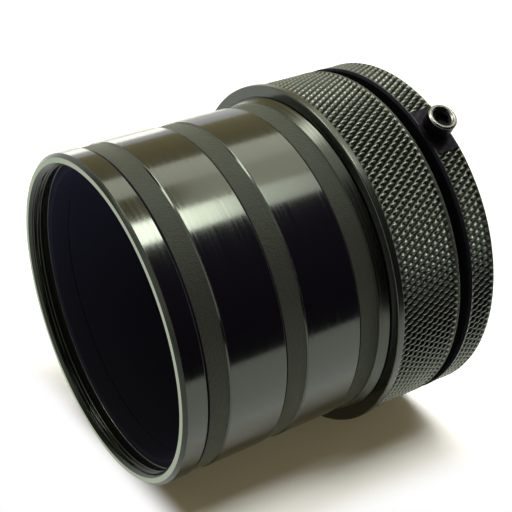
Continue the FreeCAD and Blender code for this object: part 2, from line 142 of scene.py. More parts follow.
# %% Strips
def folded_strip(first, second, first_start, second_start, points):
    """Triangles between two rows, each quad folded along the diagonal nearer to the true shape."""
    faces = []
    count = first.count
    for index in range(count):
        following = (index + 1) % count
        quad = (
            first_start + index,
            first_start + following,
            second_start + following,
            second_start + index,
        )
        wanted = first.halfway(2 * math.pi * (index + 0.5) / count)
        radii = [points[corner].xy.length / MM for corner in quad]
        rising_gap = abs((radii[0] + radii[2]) / 2 - wanted)
        falling_gap = abs((radii[1] + radii[3]) / 2 - wanted)
        if rising_gap < falling_gap:
            faces += [[quad[0], quad[1], quad[2]], [quad[0], quad[2], quad[3]]]
        else:
            faces += [[quad[0], quad[1], quad[3]], [quad[3], quad[1], quad[2]]]
    return faces


def strip_faces(first, second, first_start, second_start):
    """Quads between two rows, or fans where one has a whole number of times the other's points."""
    if first.count < second.count:
        return [face[::-1] for face in strip_faces(second, first, second_start, first_start)]
    step = first.count // second.count
    middle = step // 2
    faces = []
    for index in range(second.count):
        fine = [
            first_start + (index * step + offset) % first.count for offset in range(step + 1)
        ]
        near, far = second_start + index, second_start + (index + 1) % second.count
        if step == 1:
            faces.append([*fine, far, near])
            continue
        for offset in range(step):
            faces.append([fine[offset], fine[offset + 1], near if offset < middle else far])
        faces.append([fine[middle], far, near])
    return faces


fan = strip_faces(Row(0, 12, 10), Row(1, 3, 10), 0, 12)
print("12 points joined to 3 by", len(fan), "triangles")


# %% [markdown]
# ### Skins
#
# A skin joins all the rows of a piece into one mesh. Each strip keeps the number of its finish,
# and each point keeps its wear in a mesh attribute, which the materials read later. On a knurl
# that value is the height, so it also paints shade into the grooves. Painting wear by hand would
# do as well, but the profile already knows where its edges are.

# %% Skins
def finish_at(finish, point):
    """A finish is a number, or a number for each angle."""
    return finish(math.atan2(point.y, point.x) % (2 * math.pi)) if callable(finish) else finish


def skin(name, rows, finishes, closed=True):
    """Joins the rows into one mesh object. Open skins are closed by a face at each end."""
    points, wear_and_groove_shades, faces, slots, starts = [], [], [], [], []
    for row in rows:
        starts.append(len(points))
        for place, wear_and_groove_shade in row.points():
            points.append(place)
            wear_and_groove_shades.append(wear_and_groove_shade)
    last = len(rows) if closed else len(rows) - 1
    for index in range(last):
        following = (index + 1) % len(rows)
        ends = rows[index], rows[following], starts[index], starts[following]
        if rows[index].halfway and rows[following].count == rows[index].count:
            strip = folded_strip(*ends, points)
        else:
            strip = strip_faces(*ends)
        faces += strip
        slots += [finish_at(rows[index].finish, points[face[0]]) for face in strip]
    if not closed:
        faces.append([starts[0] + index for index in range(rows[0].count)][::-1])
        faces.append([starts[-1] + index for index in range(rows[-1].count)])
        slots += [rows[0].finish, rows[-1].finish]
    mesh = bpy.data.meshes.new(name)
    mesh.from_pydata(points, [], faces)
    mesh.polygons.foreach_set("material_index", slots)
    worn = mesh.attributes.new("wear_and_groove_shade", "FLOAT", "POINT")
    worn.data.foreach_set("value", wear_and_groove_shades)
    for finish in finishes:
        mesh.materials.append(finish)
    return into_scene(name, mesh)


# %% [markdown]
# ## Broken edges
#
# No turned edge is sharp: a file or the tool takes about a tenth of a millimetre off it, and that
# narrow strip is what catches the light round a rim. A Bevel modifier could cut it afterwards. It
# is simpler in the profile, where every corner is replaced by a short arc. Those rows also carry
# wear, because paint and anodising go from the edges first.

# %% Broken edges
EDGE_STEPS = 3
EDGE_BREAK = 0.08
MOST_OF_A_SIDE = 0.45


class Corner:
    """A corner of a profile: radius and height in mm, finish after it, size of its rounding."""

    def __init__(self, radius, height, finish=0, rounding=EDGE_BREAK):
        self.place = Vector((radius, height))
        self.finish = finish
        self.rounding = rounding


def rounded_rows(corners, count, closed=True):
    """Rows for a profile, with each corner replaced by an arc of EDGE_STEPS steps."""
    rows = []
    total = len(corners)
    for index, corner in enumerate(corners):
        here = corner.place
        is_end = not closed and index in (0, total - 1)
        if is_end or corner.rounding == 0:
            rows.append(Row(here.y, count, here.x, corner.finish))
            continue
        before = corners[index - 1].place - here
        after = corners[(index + 1) % total].place - here
        turn = math.pi - before.angle(after)
        room = MOST_OF_A_SIDE * min(before.length, after.length)
        cut = min(corner.rounding * math.tan(turn / 2), room)
        start = here + before.normalized() * cut
        end = here + after.normalized() * cut
        for step in range(EDGE_STEPS + 1):
            share = step / EDGE_STEPS
            along = start.lerp(here, share).lerp(here.lerp(end, share), share)
            wear_and_groove_shade = 1.0 - abs(2 * share - 1)
            rows.append(Row(along.y, count, along.x, corner.finish, wear_and_groove_shade))
    return rows


print("edges are broken by", EDGE_BREAK, "mm in", EDGE_STEPS, "steps")


# %% [markdown]
# ## Shading that follows the flats
#
# A fine mesh of rows is still made of flat faces. Smooth shading hides that, sharp edges are kept
# where two faces meet at more than a set angle, and the Weighted Normal modifier lets the large
# faces decide, so that flats stay flat beside their small round edges.

# %% Finishing a piece
SHARP_ANGLE = math.radians(50)


def finish_piece(piece, body, node):
    """Shading, body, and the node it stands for."""
    mesh = piece.data
    mesh.polygons.foreach_set("use_smooth", [True] * len(mesh.polygons))
    mesh.set_sharp_from_angle(angle=SHARP_ANGLE)
    weighted = piece.modifiers.new("weighted_normals", "WEIGHTED_NORMAL")
    weighted.keep_sharp = True
    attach(piece, body)
    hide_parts(node)
    low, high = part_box(node)
    print(f"{piece.name}: {len(mesh.vertices)} points, node spans {(high - low) / MM}")


# %% [markdown]
# ## Finishes
#
# The rings are anodised black: a hard, clear layer of oxide over dyed metal. That reads as a dark
# colour under a gloss with a high index of refraction. The lathe leaves circular marks in it,
# finer than a hair, and they smear a highlight round the tube. A photographed texture could show
# them, but a noise that is squeezed along the axis and stretched round it gives both the streaks
# and the small differences from one cut to the next, at any size. The black finishes share one
# faint green tint on all that they mirror: it is the lamps' tint, painted into the finishes.

# %% Shader helpers
WORN_PATCHES = (600, 600, 600)


def new_material(name):
    """A material with an empty tree but for Principled and the output."""
    material = bpy.data.materials.new(name)
    material.use_nodes = True
    tree = material.node_tree
    return material, tree, tree.nodes["Principled BSDF"]


def stretched_noise(tree, scale, detail=4.0, roughness=0.6):
    """Noise in object space with its own scale along X, Y and Z."""
    coordinates = tree.nodes.new("ShaderNodeTexCoord")
    mapping = tree.nodes.new("ShaderNodeMapping")
    mapping.inputs["Scale"].default_value = scale
    noise = tree.nodes.new("ShaderNodeTexNoise")
    noise.inputs["Scale"].default_value = 1.0
    noise.inputs["Detail"].default_value = detail
    noise.inputs["Roughness"].default_value = roughness
    tree.links.new(coordinates.outputs["Object"], mapping.inputs["Vector"])
    tree.links.new(mapping.outputs["Vector"], noise.inputs["Vector"])
    return noise.outputs["Fac"]


def spread(tree, value, low, high):
    """Maps the middle of a noise, 0.3 to 0.7, to the range from low to high."""
    node = tree.nodes.new("ShaderNodeMapRange")
    node.inputs["From Min"].default_value = 0.3
    node.inputs["From Max"].default_value = 0.7
    node.inputs["To Min"].default_value = low
    node.inputs["To Max"].default_value = high
    tree.links.new(value, node.inputs["Value"])
    return node.outputs["Result"]


def rough_between(tree, shader, value, low, high):
    """Roughness that follows a noise from low to high."""
    tree.links.new(spread(tree, value, low, high), shader.inputs["Roughness"])


def bump(tree, shader, height, depth):
    """Bump of a real depth in metres."""
    node = tree.nodes.new("ShaderNodeBump")
    node.inputs["Distance"].default_value = depth
    node.inputs["Strength"].default_value = 1.0
    tree.links.new(height, node.inputs["Height"])
    tree.links.new(node.outputs["Normal"], shader.inputs["Normal"])


def colour_between(tree, factor, first, second):
    """A colour that goes from the first to the second as the factor goes from 0 to 1."""
    mix = tree.nodes.new("ShaderNodeMix")
    mix.data_type = "RGBA"
    mix.inputs["A"].default_value = (*first, 1)
    mix.inputs["B"].default_value = (*second, 1)
    tree.links.new(factor, mix.inputs["Factor"])
    return mix.outputs["Result"]


def wear_and_groove_shade_of(tree):
    """Edge wear, and on a knurl its height: 1 on an edge or a tip, 0 in a groove, where it paints
    shade.
    """
    attribute = tree.nodes.new("ShaderNodeAttribute")
    attribute.attribute_name = "wear_and_groove_shade"
    return attribute.outputs["Fac"]


def worn_colour(tree, shader, colour, bare, amount):
    """Base colour that goes towards the bare metal where the wear and a noise both say so."""
    patches = stretched_noise(tree, WORN_PATCHES, 6.0, 0.7)
    share = tree.nodes.new("ShaderNodeMath")
    share.operation = "MULTIPLY"
    tree.links.new(wear_and_groove_shade_of(tree), share.inputs[0])
    tree.links.new(spread(tree, patches, 0.0, amount), share.inputs[1])
    worn = colour_between(tree, share.outputs["Value"], colour, bare)
    tree.links.new(worn, shader.inputs["Base Color"])


# %% [markdown]
# ### Gloss black, matte black, satin black
#
# The three finishes on the tube differ in their surface only. Gloss is turned with a sharp tool,
# satin with a coarser one, and the matte bands are blasted with grit before anodising. The
# blasted grain gets a little sheen, because it grows lighter where it is seen at a low angle. The
# bore is a dull dead black. The seams between rings, the bevels that face the gaps, the walls of
# the drilled holes and the flat under the set screw get the same dead black as painted shade.

# %% Anodised finishes
BLACK_DYE = (0.0055, 0.0045, 0.0073)
BARE_METAL = (0.32, 0.31, 0.29)
PAINTED_LAMP_TINT = (0.9, 1.0, 0.78, 1)
# The lamps' faint green, painted into all that the black finishes mirror.
CUT_BANDS = (25, 25, 3200)
LATHE_STREAKS = (12, 12, 9000)
DEAD_BLACK = {"roughness": 0.8, "grain_size": 0.0004, "depth": 20 * MICRON, "index": 1.15}


def turned_black(name, roughness, streak_depth, dye=BLACK_DYE, index=1.75, worn=0.25):
    material, tree, shader = new_material(name)
    shader.inputs["IOR"].default_value = index
    shader.inputs["Specular Tint"].default_value = PAINTED_LAMP_TINT
    shader.inputs["Anisotropic"].default_value = 0.3
    tangent = tree.nodes.new("ShaderNodeTangent")
    tangent.direction_type = "RADIAL"
    tangent.axis = "Z"
    tree.links.new(tangent.outputs["Tangent"], shader.inputs["Tangent"])
    cuts = stretched_noise(tree, CUT_BANDS, 3.0, 0.6)
    rough_between(tree, shader, cuts, roughness * 0.68, roughness * 1.4)
    bump(tree, shader, stretched_noise(tree, LATHE_STREAKS, 3.0, 0.55), streak_depth)
    worn_colour(tree, shader, dye, BARE_METAL, worn)
    return material


def blasted_black(name, roughness, grain_size, depth, dye, index, sheen=0.0):
    material, tree, shader = new_material(name)
    shader.inputs["IOR"].default_value = index
    shader.inputs["Specular Tint"].default_value = PAINTED_LAMP_TINT
    shader.inputs["Sheen Weight"].default_value = sheen
    shader.inputs["Sheen Tint"].default_value = PAINTED_LAMP_TINT
    grain = stretched_noise(tree, (1 / grain_size, 1 / grain_size, 0.5 / grain_size), 3.0, 0.6)
    rough_between(tree, shader, grain, roughness * 0.8, roughness * 1.2)
    bump(tree, shader, grain, depth)
    worn_colour(tree, shader, dye, BARE_METAL, 0.1)
    return material


gloss_black = turned_black("gloss_black_anodised", 0.13, 0.55 * MICRON)
satin_black = turned_black(
    "satin_black_anodised", 0.23, 0.3 * MICRON, dye=(0.008, 0.008, 0.007), worn=0.1
)
thread_black = turned_black(
    "thread_black", 0.24, 2 * MICRON, dye=(0.025, 0.027, 0.023), index=1.45, worn=0.5
)
matte_black = blasted_black(
    "matte_black_band", 0.5, 0.00025, 100 * MICRON, (0.011, 0.012, 0.009), 1.3, sheen=0.45
)
black_bore_and_gap_shade = blasted_black("dead_black_bore_and_gap_shade", dye=(0.045, 0.047, 0.095), **DEAD_BLACK)
# Dead black painted on seams, gap bevels, hole walls and the screw's flat, as shade.
painted_shade_black = blasted_black("dead_black_painted_shade", dye=(0.012, 0.0105, 0.017), **DEAD_BLACK)
print("anodised finishes made")


# %% [markdown]
# ### Knurl and lip
#
# A knurl is held in the hand. Its tips lose some of their dye and turn grey-green from wear, and
# the grooves are painted near black as shade, so the colour follows the height of the knurl. How
# much a finish mirrors is one number on the shader, so tip, flank and groove have a finish each:
# lit and shaded copies of one finish. The tips mirror the most, as polish from the hand, and the
# shine is painted lower on the flanks and lowest in the grooves as shade. The flat of the front
# lip is a bright cut, made after anodising, so it shows the metal. The collar's front face is
# turned smooth: it mirrors the room at the top and the black tube everywhere else.

# %% Knurl and lip finishes
# Near black in the grooves is painted shade; the grey-green of the tips is wear.
GROOVE_PAINTED_SHADE = (0.002, 0.002, 0.002, 1)
TIP_GREY = (0.022, 0.024, 0.018, 1)
PRESSED_GRAIN = (3500, 3500, 3500)


def knurl_finish(name, shine):
    material, tree, shader = new_material(name)
    shader.inputs["IOR"].default_value = 2.2
    shader.inputs["Specular IOR Level"].default_value = shine
    shader.inputs["Specular Tint"].default_value = PAINTED_LAMP_TINT
    grain = stretched_noise(tree, PRESSED_GRAIN, 3.0, 0.6)
    rough_between(tree, shader, grain, 0.26, 0.4)
    bump(tree, shader, grain, 8 * MICRON)
    ramp = tree.nodes.new("ShaderNodeValToRGB")
    groove, tip = ramp.color_ramp.elements
    groove.position, groove.color = 0.55, GROOVE_PAINTED_SHADE
    tip.position, tip.color = 0.95, TIP_GREY
    tree.links.new(wear_and_groove_shade_of(tree), ramp.inputs["Fac"])
    tree.links.new(ramp.outputs["Color"], shader.inputs["Base Color"])
    return material


# Lit and shaded copies of one finish: the lower shine on flanks and in grooves is painted shade.
knurl_tip = knurl_finish("knurled_black_tip", 0.76)
knurl_flank_shaded = knurl_finish("knurled_black_flank_shaded", 0.34)
knurl_groove_shaded = knurl_finish("knurled_black_groove_shaded", 0.1)
lip_metal = turned_black("bright_cut_lip", 0.35, 3 * MICRON, dye=(0.36, 0.39, 0.33), worn=0.0)
lip_metal.node_tree.nodes["Principled BSDF"].inputs["Metallic"].default_value = 1.0
face_black = turned_black("face_black", 0.2, 0.5 * MICRON, index=1.8, worn=0.1)
TUBE_FINISHES = [
    gloss_black,
    matte_black,
    black_bore_and_gap_shade,
    thread_black,
    satin_black,
    knurl_tip,
    lip_metal,
    face_black,
    painted_shade_black,
    knurl_flank_shaded,
    knurl_groove_shaded,
]
GLOSS, MATTE, BORE, THREAD, SATIN, TIP, LIP, FACE, PAINTED_SHADE, FLANK, GROOVE = range(11)
print("finishes of the rings:", [finish.name for finish in TUBE_FINISHES])


# %% [markdown]
# ## Sizes
#
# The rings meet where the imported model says, so their heights and the tube's radius are read from
# its boxes, not typed again. What the boxes can't tell is a thickness or a depth inside: those are
# values in millimetres, each named where it is first needed.

# %% Sizes read from the frame
def top_of(node):
    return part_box(node)[1].z / MM


def bottom_of(node):
    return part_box(node)[0].z / MM


def radius_of(node):
    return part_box(node)[1].x / MM


LIP_FACE = top_of("front_ring")
SPIGOT = 3.0
FRONT_JOINT = bottom_of("front_ring") + SPIGOT
MIDDLE_JOINT = bottom_of("front_extension_ring") + SPIGOT
BASE_JOINT = bottom_of("rear_extension_ring") + SPIGOT
TUBE = radius_of("front_extension_ring")
BAND_STEP = 0.25
BAND = TUBE - BAND_STEP
SOCKET_WALL = 1.25
SOCKET = BAND - SOCKET_WALL
SPIGOT_WALL = 1.8
SPIGOT_PLAY = 0.05
TUBE_BORE = SOCKET - SPIGOT_PLAY - SPIGOT_WALL
RING_COLUMNS = 480


# %% [markdown]
# ## Threads
#
# A thread could be a texture of stripes, but its ridges show against the light in the mouth. Here
# it is a true helix. On its rows the radius goes up and down once in each pitch, and the place of
# that wave moves along by one pitch in a turn. At both ends it runs out to nothing, as the tool
# leaves it.

# %% Threads
ROWS_PER_PITCH = 10
RUN_OUT = 0.4
FLANK_SLOPE = 1.45
ROOT_FLAT = 0.2


def thread_rows(inner, outer, low, high, pitch, count, finish, crest_inside=True):
    """Rows of a helical thread between two radii, downwards from high to low."""
    rows = []
    steps = round((high - low) / pitch * ROWS_PER_PITCH)
    for step in range(steps + 1):
        height = high - (high - low) * step / steps
        run_out = pitch * RUN_OUT
        share = min(1.0, (high - height) / run_out, (height - low) / run_out)

        def radius(angle, height=height, share=share):
            phase = ((height / pitch) - angle / (2 * math.pi)) % 1.0
            wave = min(1.0, max(0.0, FLANK_SLOPE * (1 - abs(2 * phase - 1)) - ROOT_FLAT))
            if crest_inside:
                return outer - (outer - inner) * (1 - wave * share)
            return inner + (outer - inner) * (1 - wave * share)

        rows.append(Row(height, count, radius, finish))
    return rows


print("a thread has", ROWS_PER_PITCH, "rows in each pitch")


# %% [markdown]
# ## The front ring
#
# The mouth takes the camera's ring in a fine filter thread. A narrow lip with a bevel outside and
# a chamfer inside leads into it, and behind the thread the wall steps out to a smooth relief and
# back in at the seat. All of that is one profile, so it is one mesh, as the real ring is one
# piece of metal.

# %% The front ring
LIP_CHAMFER = 0.65
LIP_WIDTH = 0.95
MOUTH_CHAMFER = 0.55
FILTER_PITCH = 0.75
FILTER_DEPTH = 0.4
FILTER_LENGTH = 2.3
SEAT_DEPTH = 4.0
SEAT_RIM = 0.16
SEAT_LAND = 0.5
FRONT_SEAM = 0.22


def spigot_corners(joint, seam):
    """From the tube's bore round the spigot to the outside of the tube, and its chamfer there."""
    return [
        Corner(TUBE_BORE, joint - SPIGOT, BORE),
        Corner(TUBE_BORE + SPIGOT_WALL, joint - SPIGOT, THREAD, 0.3),
        Corner(TUBE_BORE + SPIGOT_WALL, joint, GLOSS, 0),
        # The chamfer at the joint is painted dead black: painted shade of the seam between rings.
        Corner(TUBE - seam, joint, PAINTED_SHADE, 0.03),
        Corner(TUBE, joint + seam, GLOSS, 0.08),
    ]


def make_front_ring():
    lip = TUBE - LIP_CHAMFER
    mouth = lip - LIP_WIDTH
    minor = mouth - MOUTH_CHAMFER
    major = minor + FILTER_DEPTH
    thread_high = LIP_FACE - MOUTH_CHAMFER
    thread_low = LIP_FACE - FILTER_LENGTH
    seat = LIP_FACE - SEAT_DEPTH
    outside = rounded_rows(
        spigot_corners(FRONT_JOINT, FRONT_SEAM)
        + [
            Corner(TUBE, LIP_FACE - LIP_CHAMFER, THREAD, 0.08),
            Corner(lip, LIP_FACE, LIP, 0.05),
            Corner(mouth, LIP_FACE, THREAD, 0.08),
            Corner(minor, thread_high, THREAD, 0),
        ],
        RING_COLUMNS,
        closed=False,
    )
    thread = thread_rows(
        minor, major, thread_low, thread_high, FILTER_PITCH, RING_COLUMNS, THREAD
    )
    inside = rounded_rows(
        [
            Corner(minor, thread_low, THREAD, 0),
            Corner(major, thread_low - 0.05, THREAD, 0.03),
            Corner(major, seat, LIP, 0.02),
            Corner(major - SEAT_RIM, seat, BORE, 0),
            Corner(TUBE_BORE, seat, BORE, 0.12),
            Corner(TUBE_BORE, seat - SEAT_LAND, BORE, 0),
        ],
        RING_COLUMNS,
        closed=False,
    )
    rows = outside[:-1] + thread + inside[1:]
    ring = skin("front_ring_turned", rows, TUBE_FINISHES)
    finish_piece(ring, "tube", "front_ring")


make_front_ring()


# %% [markdown]
# ## The two extension rings
#
# Both rings are the same part, so one function makes them. The rear end screws into the ring
# behind, and the front end has a matte band, a little lower than the gloss tube, with the socket
# for the next ring inside it. The short slope from band to tube shows as a thin bright line.

# %% The extension rings
BAND_WIDTH = 3.9
BAND_CHAMFER = 0.25
WIDE_BAND_CHAMFER = 0.35
SOCKET_DEPTH = SPIGOT + 0.2
EXTENSION_SEAM = 0.15


def band_front(front, edge):
    """The front edge of a matte band and the mouth of the socket in it."""
    return [
        # The band's front chamfer is painted dead black: painted shade of the seam between rings.
        Corner(BAND, front - edge, PAINTED_SHADE, 0.04),
        Corner(BAND - edge, front, PAINTED_SHADE, 0.05),
        Corner(SOCKET, front, THREAD),
        Corner(SOCKET, front - SOCKET_DEPTH, BORE, 0),
    ]


def make_extension_ring(node, joint, front, edge):
    band_low = front - BAND_CHAMFER - BAND_WIDTH
    corners = [
        *spigot_corners(joint, EXTENSION_SEAM),
        Corner(TUBE, band_low - BAND_STEP, GLOSS, 0.25),
        Corner(BAND, band_low, MATTE, 0.03),
        *band_front(front, edge),
        Corner(TUBE_BORE, front - SOCKET_DEPTH, BORE),
    ]
    ring = skin(f"{node}_turned", rounded_rows(corners, RING_COLUMNS), TUBE_FINISHES)
    finish_piece(ring, "tube", node)


make_extension_ring("rear_extension_ring", BASE_JOINT, MIDDLE_JOINT, BAND_CHAMFER)
make_extension_ring("front_extension_ring", MIDDLE_JOINT, FRONT_JOINT, WIDE_BAND_CHAMFER)


# %% [markdown]
# ## Cutters
#
# Holes across a ring come last on the real part too: it is turned first and then drilled. A
# Boolean modifier does the same here, where rows of points could never follow a hole from the
# side. Each cutter is a small turned solid laid along a radius, and the result is applied at once,
# so that the piece keeps no modifier that needs the cutter.

# %% Drilling
CUTTER_START = 20
BEYOND = 5


def lay_outwards(angle, height):
    """Turns something made along Z so that it points away from the optical axis at an angle."""
    return (
        Matrix.Rotation(angle, 4, "Z")
        @ Matrix.Translation((0, 0, height * MM))
        @ Matrix.Rotation(math.pi / 2, 4, "Y")
    )


def stepped_cutter(name, steps, angle, height, count=48):
    """A cutter of one or more cylinders end to end: steps are pairs of distance and radius."""
    rows = []
    for (start, radius), (end, _) in zip(steps, steps[1:]):
        # The cutter's dead black passes to the walls of its hole: painted shade inside the hole.
        rows += [Row(start, count, radius, PAINTED_SHADE), Row(end, count, radius, PAINTED_SHADE)]
    cutter = skin(name, rows, TUBE_FINISHES, closed=False)
    cutter.data.transform(lay_outwards(angle, height))
    return cutter


def drill(piece, cutters):
    """Takes the cutters away from the piece and then removes them."""
    for index, cutter in enumerate(cutters):
        boolean = piece.modifiers.new(f"drill_{index}", "BOOLEAN")
        boolean.operation = "DIFFERENCE"
        boolean.solver = "EXACT"
        boolean.object = cutter
    bpy.context.view_layer.update()
    graph = bpy.context.evaluated_depsgraph_get()
    drilled = bpy.data.meshes.new_from_object(piece.evaluated_get(graph))
    piece.modifiers.clear()
    piece.data = drilled
    for cutter in cutters:
        bpy.data.objects.remove(cutter)
    print(f"{piece.name} drilled: {len(drilled.vertices)} points")


# %% [markdown]
# ## The base ring
#
# Behind the last gloss tube comes a matte band and a short satin cone that opens out to the
# collar. The rest of this ring is a neck that runs back inside the collar, with three stepped
# holes for the keys that keep the sleeve from turning. The neck isn't seen, and a plain pipe would
# do for it, but the ring is one piece of metal, so it is turned whole.

# %% The base ring
COLLAR_FRONT = top_of("knurled_collar")
FLANGE_FACE = COLLAR_FRONT + 0.1
FLANGE = radius_of("base_ring")
FLANGE_EDGE = 0.15
CONE_TOP = FLANGE_FACE + 2.05
NECK_LOW = bottom_of("base_ring")
NECK_INNER = 26.0
NECK_OUTER = NECK_INNER + 2.0
KEY_HEIGHT = (top_of("guide_keys") + bottom_of("guide_keys")) / 2
KEY_HEAD_HOLE = 2.05
KEY_STEM_HOLE = 1.3
KEY_STEP = NECK_INNER + 0.95
KEY_ANGLES = (-90, 30, 150)


def make_base_ring():
    corners = [
        Corner(NECK_INNER, NECK_LOW, SATIN),
        Corner(NECK_OUTER, NECK_LOW, SATIN, 0.3),
        Corner(NECK_OUTER, FLANGE_FACE, SATIN, 0),
        Corner(FLANGE - FLANGE_EDGE, FLANGE_FACE, SATIN),
        Corner(FLANGE, FLANGE_FACE + FLANGE_EDGE, SATIN),
        Corner(TUBE, CONE_TOP - BAND_STEP, MATTE, 0.1),
        Corner(BAND, CONE_TOP, MATTE, 0.1),
        *band_front(BASE_JOINT, BAND_CHAMFER),
        Corner(NECK_INNER, BASE_JOINT - SOCKET_DEPTH, BORE),
    ]
    ring = skin("base_ring_turned", rounded_rows(corners, RING_COLUMNS), TUBE_FINISHES)
    hole = [
        (CUTTER_START, KEY_HEAD_HOLE),
        (KEY_STEP, KEY_STEM_HOLE),
        (NECK_OUTER + 1, KEY_STEM_HOLE),
    ]
    cutters = [
        stepped_cutter(f"key_cutter_{index}", hole, math.radians(angle), KEY_HEIGHT)
        for index, angle in enumerate(KEY_ANGLES)
    ]
    drill(ring, cutters)
    finish_piece(ring, "tube", "base_ring")


make_base_ring()


# %% [markdown]
# ## Diamond knurling
#
# Two toothed wheels are pressed into the turning ring, one with left-hand and one with right-hand
# grooves at 30 degrees to the axis. Where the grooves cross, they leave pyramids. Measured across
# the grooves they are 1.2 mm apart, a standard knurl, so a pyramid is 2.4 mm long and 1.39 mm
# wide.
#
# A texture could fake this, but the outline of the collar and the small shadows between the
# pyramids come from real shape, with painted shade in the grooves on top. The grid of points is
# laid so that every groove and every tip falls on points: eight steps across a pyramid each way.
# At each point the distance to the nearest groove of either family gives the height, and the
# lower one wins. One wheel has bitten deeper than the other, which leaves the slanting ridges of
# the photograph. The height at the middle of a quad says how it is folded, and whether it takes
# the tip finish or the shaded flank or groove finish.

# %% The knurl
KNURL_PITCH = 1.2
KNURL_ANGLE = math.radians(30)
KNURL_STEPS = 8
KNURL_DEPTH = 0.56
GRIP = radius_of("clamp_ring")
KNURL_LENGTH = KNURL_PITCH / math.sin(KNURL_ANGLE)
KNURL_COUNT = round(2 * math.pi * GRIP * math.cos(KNURL_ANGLE) / KNURL_PITCH)
FINE_COLUMNS = KNURL_COUNT * KNURL_STEPS
COARSE_COLUMNS = FINE_COLUMNS // 4
FLANK_SHAPE = ((0.0, 0.0), (0.125, 0.3), (0.25, 0.6), (0.375, 0.87), (0.5, 1.0))
SHALLOW_SHARE = 0.62
FLANK_FROM = 0.45
TIP_FROM = 0.7
MINUS_Y = 1.5 * math.pi


def flank(distance):
    """Height of a flank, 0 in the groove and 1 on the crest, for a distance of 0 to 0.5."""
    for (near, low), (far, high) in zip(FLANK_SHAPE, FLANK_SHAPE[1:]):
        if distance <= far:
            return low + (high - low) * (distance - near) / (far - near)
    return 1.0


def knurl_height(turns, lengths):
    """Height of the knurl, 0 to 1, at a place given in pyramids round and pyramids along."""
    deep = flank(abs(turns + lengths - round(turns + lengths)))
    shallow = flank(abs(turns - lengths - round(turns - lengths)))
    return min(deep, 1 - SHALLOW_SHARE * (1 - shallow))


def knurl_rows(low, high, crest, flat=None):
    """Knurled rows upwards from low to high. A flat is a half angle round -Y and its distance."""
    count = round((high - low) / (KNURL_LENGTH / KNURL_STEPS))

    def on_flat(angle):
        return flat is not None and abs(angle - MINUS_Y) < flat[0]

    def shape(angle, index):
        if index <= 0 or index >= count:
            return 1.0
        return knurl_height(angle / (2 * math.pi) * KNURL_COUNT, index / KNURL_STEPS)

    def radius_at(index):
        def radius(angle):
            if on_flat(angle) and 0 < index < count:
                return flat[1] / math.cos(angle - MINUS_Y)
            return crest - KNURL_DEPTH * (1 - shape(angle, index))

        return radius

    # Dead black on the flat is the painted shadow of the screw's head.
    def finish_above(index):
        def finish(angle):
            if on_flat(angle):
                return PAINTED_SHADE
            middle = shape(angle + math.pi / FINE_COLUMNS, index + 0.5)
            return GROOVE if middle < FLANK_FROM else FLANK if middle < TIP_FROM else TIP

        return finish

    # The knurl's height is also each point's wear value: grey wear on tips, painted shade in
    # grooves.
    rows = [
        Row(
            low + (high - low) * index / count,
            FINE_COLUMNS,
            radius_at(index),
            finish_above(index),
            lambda angle, index=index: shape(angle, index),
            radius_at(index + 0.5),
        )
        for index in range(count + 1)
    ]
    rows[-1].finish = SATIN
    return rows


print("pyramids round the collar:", KNURL_COUNT, "points in a row:", FINE_COLUMNS)


# %% [markdown]
# ## The collar
#
# This is the ring that a hand turns. Its front face and a smooth rim frame the knurl at one end,
# and a bevel at the other. The rim stands a little above the tips of the pyramids. It could be
# three pieces, plain, knurled and plain, but one skin leaves no gap where they meet.

# %% The collar
COLLAR_LOW = bottom_of("knurled_collar")
RIM = radius_of("knurled_collar")
RIM_WIDTH = 1.3
RIM_SLOPE = 0.21
COLLAR_REAR_CHAMFER = 0.6
COLLAR_LAND = 0.45
COLLAR_INNER = 29.93
COLLAR_LIP_INNER = 28.08
COLLAR_LIP = 2.0
RECESS_INNER = COLLAR_LIP_INNER + 0.3
RECESS_OUTER = COLLAR_LIP_INNER + 2.6
RECESS_DEPTH = 0.6


def make_collar():
    rim_low = COLLAR_FRONT - RIM_WIDTH
    land_low = COLLAR_LOW + COLLAR_REAR_CHAMFER
    knurl_low = land_low + COLLAR_LAND
    knurl_high = rim_low - RIM_SLOPE
    lip_low = COLLAR_FRONT - COLLAR_LIP
    recess = COLLAR_FRONT - RECESS_DEPTH
    rear = rounded_rows(
        [
            Corner(COLLAR_INNER, lip_low, SATIN, 0),
            Corner(COLLAR_INNER, COLLAR_LOW, SATIN),
            # The rear bevel faces the gap to the clamp ring and is painted dead black as shade.
            Corner(GRIP - COLLAR_REAR_CHAMFER, COLLAR_LOW, PAINTED_SHADE, 0.06),
            Corner(GRIP, land_low, MATTE, 0.12),
            Corner(GRIP, knurl_low, TIP, 0),
        ],
        COARSE_COLUMNS,
        closed=False,
    )
    front = rounded_rows(
        [
            Corner(GRIP, knurl_high, SATIN, 0),
            Corner(RIM, rim_low, SATIN, 0.15),
            Corner(RIM, COLLAR_FRONT, FACE, 0.3),
            Corner(RECESS_OUTER, COLLAR_FRONT, SATIN),
            Corner(RECESS_OUTER, recess, SATIN, 0),
            Corner(RECESS_INNER, recess, SATIN, 0),
            Corner(RECESS_INNER, COLLAR_FRONT, SATIN),
            Corner(COLLAR_LIP_INNER, COLLAR_FRONT, SATIN),
            Corner(COLLAR_LIP_INNER, lip_low, SATIN, 0),
        ],
        COARSE_COLUMNS,
        closed=False,
    )
    rows = rear[:-1] + knurl_rows(knurl_low, knurl_high, GRIP) + front[1:]
    collar = skin("knurled_collar_turned", rows, TUBE_FINISHES)
    finish_piece(collar, "collar", "knurled_collar")


make_collar()


# %% [markdown]
# ## The clamp ring
#
# The rear ring has the same knurl between two bevelled edges. A shallow flat is milled through
# the knurl where the set screw goes in, and runs out where its plane meets the round ring. The
# flat could be cut too, but the rows can follow a plane, so it is part of them. It stops at the
# ring's two edges. A round pocket of the same depth goes through those, so that the screw's head,
# almost as wide as the ring, has room when it is turned in.

